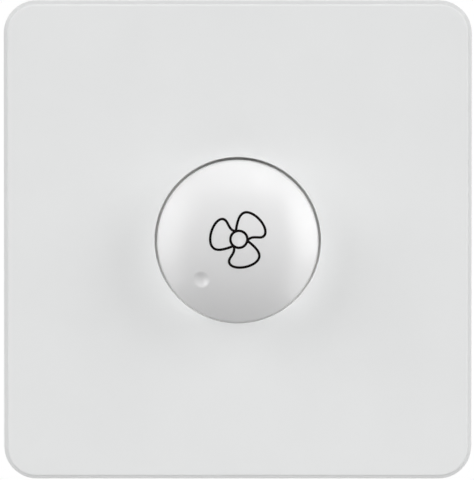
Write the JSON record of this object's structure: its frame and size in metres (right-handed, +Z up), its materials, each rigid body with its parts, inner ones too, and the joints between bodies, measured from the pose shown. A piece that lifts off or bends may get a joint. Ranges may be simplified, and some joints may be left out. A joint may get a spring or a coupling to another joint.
{
  "type": "rotary fan speed control switch",
  "caption": "Wall-mounted rotary fan speed control: bevelled white clip-on plate with a domed knob, on a mounting frame with a rear housing for the electronics.",
  "frame": {"origin": "on the wall plane, on the knob's axis", "axes": "+Z up, +X to the right of a person facing the plate, +Y into the wall along the knob's axis"},
  "size_m": [0.086, 0.0478, 0.088],
  "materials": {
    "cover_plastic": "fine moulded satin white",
    "knob_plastic": "smooth satin white",
    "frame_plastic": "plain moulded white",
    "housing_plastic": "plain moulded white",
    "screw_steel": "zinc plated",
    "bush_brass": "nickel plated",
    "wafer_laminate": "phenolic laminate",
    "can_steel": "drawn and zinc plated",
    "tinned_lead": "tinned",
    "switch_phenolic": "moulded black",
    "board_laminate": "green solder mask",
    "triac_epoxy": "moulded epoxy",
    "sink_aluminium": "extruded",
    "capacitor_case": "moulded yellow",
    "core_ferrite": "sintered dark grey",
    "winding_copper": "enamelled copper",
    "resistor_coat": "lacquered",
    "diac_glass": "glass case",
    "terminal_brass": "drawn brass",
    "shaft_aluminium": "turned",
    "rotor_plastic": "moulded",
    "wiper_brass": "sprung strip"
  },
  "bodies": {
    "base": {"front_plate": "cover_plastic", "mounting_frame": "frame_plastic", "rear_housing": "housing_plastic", "housing_screws": "screw_steel", "triac_screw": "screw_steel", "terminal_screws": "screw_steel", "pot_bush": "bush_brass", "pot_washer": "bush_brass", "pot_nut": "bush_brass", "pot_wafer": "wafer_laminate", "pot_can": "can_steel", "pot_terminals": "tinned_lead", "switch_terminals": "tinned_lead", "triac_leads": "tinned_lead", "capacitor_leads": "tinned_lead", "switch_body": "switch_phenolic", "circuit_board": "board_laminate", "triac_body": "triac_epoxy", "heat_sink": "sink_aluminium", "film_capacitor": "capacitor_case", "choke_core": "core_ferrite", "choke_winding": "winding_copper", "resistors": "resistor_coat", "diac": "diac_glass", "line_terminal": "terminal_brass", "load_terminal": "terminal_brass"},
    "knob": {"knob": "knob_plastic", "pot_shaft": "shaft_aluminium", "pot_rotor": "rotor_plastic", "pot_wiper": "wiper_brass"}
  },
  "joints": [
    {"name": "knob_turn", "type": "hinge", "parent": "base", "child": "knob", "pos_m": [0, 0, 0], "axis": [0, 1, 0], "range_deg": [0, 270]}
  ]
}
